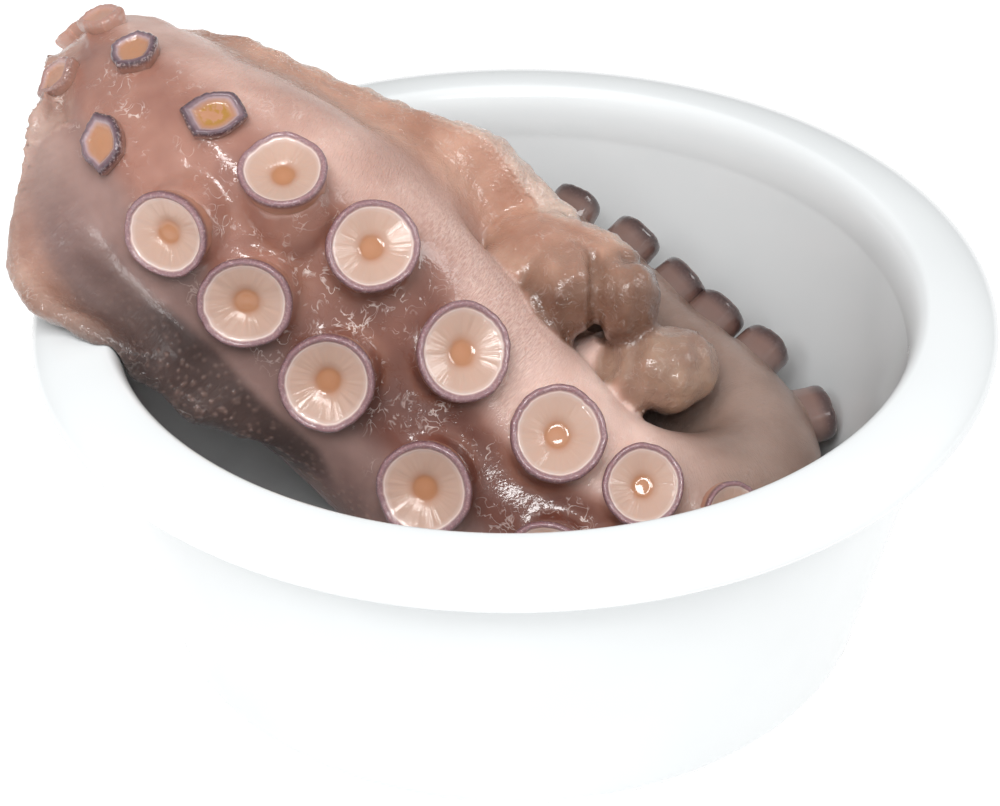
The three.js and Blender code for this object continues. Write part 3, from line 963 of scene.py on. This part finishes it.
def paint_skin(skin):
    """Gives the skin its masks: where each colour and each kind of relief lies."""
    points, normals = vertex_array(skin), vertex_array(skin, "normal")
    distance, across, up = arm_coordinates(points)
    away, out, right = near_webs(points)
    reach = np.hypot(across, up)
    facing = up / np.maximum(reach, 1e-6)  # 1 on the suckers' side, -1 behind
    on_web = 1 - smooth_share(away, 3, 4.5)
    later = np.where(right > 0, 0.25, 0.55)
    web = on_web * smooth_share(out, later, later + 0.3)
    web *= np.maximum(right, smooth_share(distance, 18, 34))
    band = on_web * smooth_share(out, 0.8, 0.9) * (0.3 + 0.7 * right)
    hanging, low = near_lobes(points, HANGING_LOBES), near_lobes(points, LOW_LOBES)
    jelly = np.maximum(near_lobes(points, LOBE_ROOTS[:2]), np.maximum(hanging, low))
    web = np.maximum(web, jelly)
    own = 1 - web
    thin = smooth_share(distance, 101, 119) * own
    thick = own - thin
    # the left side next to the sucker rows: its mauve tone is darkened here as painted shade
    shaded_shoulder = smooth_share(-across, 0.32, 0.55) * smooth_share(distance, 14, 26) * thick
    left = smooth_share(-across, 0.65, 1.05) * thick
    behind = smooth_share(-facing, -0.2, 0.3) * thick
    flank = np.maximum(left, behind)
    height = points[:, 2] / MM
    # painted shade: darker low down on the left side, where the bowl's wall keeps light off
    dark = (1 - smooth_share(height, 36, 54)) * smooth_share(-across, 0.65, 1.0)
    dark *= smooth_share(distance, 18, 34) * (1 - thin) * (1 - right * web)
    lower = 0.5 * smooth_share(distance, 60, 84)
    ridge = smooth_share(across + lower, 0.62, 0.9) * smooth_share(facing, -0.6, 0.1) * thick
    hollow = ((spread_points(skin, points, HOLLOW_ROUNDS) - points) * normals).sum(1) / MM
    oral = smooth_share(facing, 0.3, 0.65) * (1 - smooth_share(reach, 1.2, 1.5)) * thick
    cut_plane = ((points - ARM["middle"][0]) * ARM["along"][0]).sum(1) / MM
    cut = (1 - smooth_share(cut_plane, 0.2, 0.6)) * (1 - smooth_share(reach, 0.72, 0.82))
    trough = oral * smooth_share(hollow, 0, 0.12)
    patchy = np.array([noise.noise(Vector(p) / (5 * MM)) for p in points])
    low_side = 1 - smooth_share(across + lower, 0.5, 0.75)
    pale = smooth_share(-across, 0.5, 0.85) * thick * (1 - smooth_share(distance, 12, 28))
    # painted shade on the low part of the left web; the pale band is kept out of it
    low_left_shade = (1 - smooth_share(height, 48, 57)) * (1 - right) * on_web
    low_left_shade *= smooth_share(out, 0.1, 0.4)
    # painted light: paler pink on the groove where the right web leaves the arm
    painted_light_slope = (1 - smooth_share(away, 2, 8)) * right * (1 - smooth_share(out, 0.25, 0.6))
    painted_light_slope *= smooth_share(across, 0.4, 0.7) * (1 - jelly)
    painted_light_slope *= 1 - smooth_share(distance, 48, 68)
    between = smooth_share(patchy, -0.15, 0.1) * (1 - smooth_share(-across, 0.5, 0.7))
    dull = np.maximum(np.maximum(ridge, painted_light_slope), np.maximum(flank, shaded_shoulder))
    masks = {
        "deep": smooth_share(distance, 38, 74) * oral * low_side,
        # painted shade, darker in the hollows between and around the suckers
        "crease": 0.5 * smooth_share(hollow, 0.05, 0.3) * own * (1 - painted_light_slope),
        "mauve": shaded_shoulder,
        "flank": flank,
        "dark": dark,
        "pale": pale,
        "ridge": ridge,
        # painted light, paler on the ridge low down the arm
        "low ridge painted light": ridge * smooth_share(distance, 76, 90),
        "thin": thin,
        "web": web,
        "painted_light_slope": painted_light_slope,
        "shade": low_left_shade,
        "band": band * (1 - 0.7 * low_left_shade),
        "lobe": np.maximum(low, 0.8 * jelly * (1 - smooth_share(height, 43, 51))),
        "jelly": hanging * (1 - smooth_share(height, 43, 50)),
        "cut": cut,
        "dots": 0.5 * dark + 0.1 * left + 0.1 * thin,
        "goose": 0.08 * dark + 0.04 * flank + 0.04 * thin,
        "fuzz": 0.03 * ridge + 0.045 * painted_light_slope + 0.02 * left + 0.03 * thin,
        "lumpy": 0.06 + 0.45 * band + 0.16 * web,
        "grainy": 0.03 + 0.04 * web + 0.1 * band,
        "film": 0.14 * (oral + trough) * between + 0.14 * web,
        # where the film's crinkles are painted whitish as painted glints
        "glint_lines": (0.35 * oral + 0.5 * trough) * between + 0.12 * web + 0.25 * band,
        "wet": 0.85 + 0.15 * web - 0.68 * dull - 0.4 * thin,
    }
    for name, values in masks.items():
        add_values(skin, name, values)
    # where each point lies on the arm, in millimetres down it and round it
    half = np.interp(distance, np.linspace(0, ARM["length"], ARM_SAMPLES), ARM["half"]) / MM
    lie = np.stack([distance, np.arctan2(across, up) * half, np.zeros(len(points))], axis=1)
    layer = skin.attributes.new("lie", "FLOAT_VECTOR", "POINT")
    layer.data.foreach_set("vector", lie.astype(np.float32).ravel())


def make_skin_piece():
    voxel = {"mode": "VOXEL", "voxel_size": SKIN_VOXEL * MM}
    skin = evaluated_mesh(rough_skin(), "one skin", "REMESH", **voxel)
    skin = evaluated_mesh(skin, "soften", "SMOOTH", factor=0.5, iterations=6)

    points = vertex_array(skin)
    distance, across, _ = arm_coordinates(points)
    away, out, right = near_webs(points)
    jelly = near_lobes(points, HANGING_LOBES + LOW_LOBES)
    fades = 54 + 16 * (across < 0)  # the left web runs on smoothly for longer
    root = (1 - smooth_share(away, 4.5, 8)) * (1 - smooth_share(out, 0.4, 0.65))
    root *= 1 - smooth_share(distance, fades, fades + 16)
    start = (1 - smooth_share(distance, 22, 34)) * (across < 0) * (1 - smooth_share(out, 0.7, 0.9))
    root = np.maximum(root, start * (1 - smooth_share(away, 4.5, 8)))
    root = np.maximum(root, 0.8 * near_lobes(points, LOBE_ROOTS[:2]))
    points += (spread_points(skin, points, ROOT_ROUNDS) - points) * root[:, None]
    points += (spread_points(skin, points, LOBE_ROUNDS) - points) * jelly[:, None]
    skin.vertices.foreach_set("co", points.astype(np.float32).ravel())
    skin.update()
    on_web = (1 - smooth_share(away, 3, 4.5)) * smooth_share(out, 0.2, 0.4)
    band = on_web * smooth_share(out, 0.8, 0.9) * (0.3 + 0.7 * right)
    points = skin_lumps(points, vertex_array(skin, "normal"), on_web, band, jelly)
    clear_of_bowl(points)
    skin.vertices.foreach_set("co", points.astype(np.float32).ravel())
    skin.update()
    if len(skin.polygons) * 2 > SKIN_LIMIT:
        share = SKIN_LIMIT / (len(skin.polygons) * 2)
        skin = evaluated_mesh(skin, "thin out", "DECIMATE", ratio=share)
    paint_skin(skin)
    return dress_piece("octopus_skin", skin, SKIN, "octopus_arm")


# ---------------------------------------------------------------- suckers

# A sucker's section from the middle of its hole to the foot of its outer wall: share of
# its radius, and height over its radius.
OPEN_SECTION = [
    (0, 0.254), (0.11, 0.252), (0.19, 0.25), (0.24, 0.256), (0.28, 0.269), (0.33, 0.288),
    (0.42, 0.325), (0.55, 0.368), (0.7, 0.415), (0.79, 0.445), (0.84, 0.475), (0.885, 0.52),
    (0.945, 0.535), (0.998, 0.47), (0.995, 0.38), (0.95, 0.28), (0.925, 0.1), (0.91, -0.3),
]
SHUT_SECTION = [
    (0, 0.34), (0.2, 0.35), (0.4, 0.34), (0.55, 0.36), (0.64, 0.42), (0.71, 0.48), (0.78, 0.52),
    (0.86, 0.53), (0.94, 0.48), (0.99, 0.39), (1.0, 0.27), (0.97, 0.1), (0.92, -0.1), (0.9, -0.4),
]
SMALL_SECTION = [
    (0, 0.66), (0.2, 0.64), (0.32, 0.66), (0.44, 0.76), (0.56, 0.88), (0.7, 0.96), (0.85, 0.95),
    (0.97, 0.84), (1.03, 0.65), (1.04, 0.35), (1.06, 0), (1.1, -0.35),
]

# For each kind: its section, steps round and along that section, and its finish.
SUCKER_KINDS = {
    "open": {"section": OPEN_SECTION, "around": 112, "rings": 44, "finish": OPEN_FLESH},
    "shut": {"section": SHUT_SECTION, "around": 88, "rings": 38, "finish": SHUT_FLESH},
    "small": {"section": SMALL_SECTION, "around": 44, "rings": 26, "finish": SMALL_FLESH},
}


def outline_reach(corners, turn):
    """How far out a shut sucker's outline is in one direction: straight sides, softened."""
    points = [
        Vector((math.cos(math.radians(a)) * r, math.sin(math.radians(a)) * r)) for a, r in corners
    ]
    ray = Vector((math.cos(turn), math.sin(turn)))
    for a, b in zip(points, points[1:] + points[:1]):
        if a.cross(ray) >= 0 and ray.cross(b) > 0:
            side = b - a
            return 0.5 + 0.52 * a.cross(side) / ray.cross(side)
    return 1.0


def spin_section(section, rings, around):
    """A sucker of radius 1 before it is made uneven; run is the share along its section."""
    cup = bmesh.new()
    run_layer = cup.verts.layers.float.new("run")
    section = [np.array(p) for p in section]
    line = []
    for i in range(rings + 1):
        r, h = spline_point(section, i / rings)
        v = cup.verts.new((max(r, 0), 0, h))
        v[run_layer] = i / rings
        line.append(v)
    edges = [cup.edges.new(pair) for pair in zip(line, line[1:])]
    settings = {"axis": UP, "cent": (0, 0, 0), "angle": WHOLE_TURN, "steps": around}
    bmesh.ops.spin(cup, geom=line + edges, use_merge=True, **settings)
    bmesh.ops.remove_doubles(cup, verts=cup.verts, dist=1e-5)
    bmesh.ops.recalc_face_normals(cup, faces=cup.faces)
    return cup


def add_sucker(bm, place, seed):
    """Adds one sucker: its section spun round, then made a little uneven."""
    chance = random.Random(seed)
    kind = SUCKER_KINDS[place["kind"]]
    cup = spin_section(kind["section"], kind["rings"], kind["around"])
    spoke_layer = cup.verts.layers.float_vector.new("spoke")
    bits_layer = cup.verts.layers.float.new("bits")
    fade_layer = cup.verts.layers.float.new("fade")
    oval, oval_turn = chance.uniform(0.01, 0.06), chance.uniform(0, math.pi)
    tilt = Vector((chance.uniform(-0.07, 0.07), chance.uniform(-0.07, 0.07)))
    off = Vector((seed * 3.7, seed * 1.3, 0))
    for v in cup.verts:
        r, turn = math.hypot(v.co.x, v.co.y), math.atan2(v.co.y, v.co.x)
        around = Vector((math.cos(turn), math.sin(turn), 0))
        v[spoke_layer] = around + Vector((0, 0, seed * 0.37))
        v[bits_layer] = place.get("bits", 0) * float(1 - smooth_share(r, 0.4, 0.55))
        v[fade_layer] = place.get("fade", 0)
        shape = 1 + oval * math.cos(2 * (turn - oval_turn))
        if "outline" in place:
            shape = outline_reach(place["outline"], turn)
        wave = noise.noise(around * 1.3 + off)
        quick = noise.noise(around * 5 + off)
        edge = min(max((r - 0.4) / 0.5, 0), 1)
        rough = 0.04 if "outline" in place else 0.014
        shape *= 1 + 0.03 * wave + rough * quick * edge
        v.co.x *= shape
        v.co.y *= shape
        v.co.z += edge * (0.06 * wave + 0.02 * quick) + tilt.x * v.co.x + tilt.y * v.co.y
        if 0.33 < r < 0.8:
            fade = math.sin(math.pi * (r - 0.33) / 0.47)
            v.co.z += 0.014 * fade * noise.noise(around * 11 + off)
    radius = place["size"] * MM / 2
    cup.transform(sucker_matrix(place) @ Matrix.Scale(radius, 4))
    add_shape(bm, cup)


def make_suckers():
    for name, kind in SUCKER_KINDS.items():
        bm = bmesh.new()
        for i, place in enumerate(sucker_places()):
            if place["kind"] == name:
                add_sucker(bm, place, i + 1)
        piece = make_piece(f"{name}_suckers", bm, kind["finish"], "octopus_arm")
        points = vertex_array(piece.data)
        clear_of_bowl(points)
        piece.data.vertices.foreach_set("co", points.astype(np.float32).ravel())
        piece.data.update()


# ---------------------------------------------------------------- light and ground


def make_floor():
    bm = bmesh.new()
    bmesh.ops.create_grid(bm, x_segments=2, y_segments=2, size=3.0)
    mesh = bpy.data.meshes.new("floor")
    bm.to_mesh(mesh)
    bm.free()
    mesh.materials.append(CARD)
    floor = bpy.data.objects.new("floor", mesh)
    floor.location.z = -0.0004
    bpy.context.scene.collection.objects.link(floor)


# Each lamp, seen from the bowl: degrees round from the camera's side and up, metres away,
# its width and height, its power in watts, and whether the wet skin mirrors it. The two
# keys and the thin bar give the glints.
LAMPS = {
    "soft box above": (-20, 66, 0.8, (0.45, 0.3), 2.9, False),
    "soft box front left": (-40, 40, 1.0, (0.3, 0.3), 1.9, False),
    "soft box right": (82, 34, 0.84, (0.2, 0.4), 1.3, True),
    "key left": (-14, 47, 0.85, (0.18, 0.18), 1.7, True),
    "key right": (12, 45, 0.85, (0.16, 0.16), 1.3, True),
    "thin bar": (0, 37, 0.8, (0.16, 0.02), 0.3, True),
}
LIT_PLACE = Vector((0, 0, 0.04))


def add_lamp(name, round_, up, away, size, power, mirrored):
    """A soft box: a glowing rectangle that faces the bowl."""
    lamp = bpy.data.lights.new(name, "AREA")
    lamp.shape = "RECTANGLE"
    lamp.size, lamp.size_y = size
    lamp.energy = power
    light = bpy.data.objects.new(name, lamp)
    light.visible_glossy = mirrored
    side, rise = math.radians(round_), math.radians(up)
    level = math.cos(rise)
    out = Vector((level * math.sin(side), -level * math.cos(side), math.sin(rise)))
    turn = out.to_track_quat("Z", "Y").to_matrix().to_4x4()
    light.matrix_world = Matrix.Translation(LIT_PLACE + out * away) @ turn
    bpy.context.scene.collection.objects.link(light)


def light_scene():
    world = bpy.data.worlds.new("studio")
    bpy.context.scene.world = world
    world.use_nodes = True
    world.node_tree.nodes["Background"].inputs["Color"].default_value = (1, 1, 1, 1)
    world.node_tree.nodes["Background"].inputs["Strength"].default_value = 0.4
    for name, settings in LAMPS.items():
        add_lamp(name, *settings)
    view = bpy.context.scene.view_settings
    view.view_transform = "Standard"
    view.look = "None"
    view.exposure = 0
    view.gamma = 1


make_bowl()
make_skin_piece()
make_suckers()
make_floor()
light_scene()
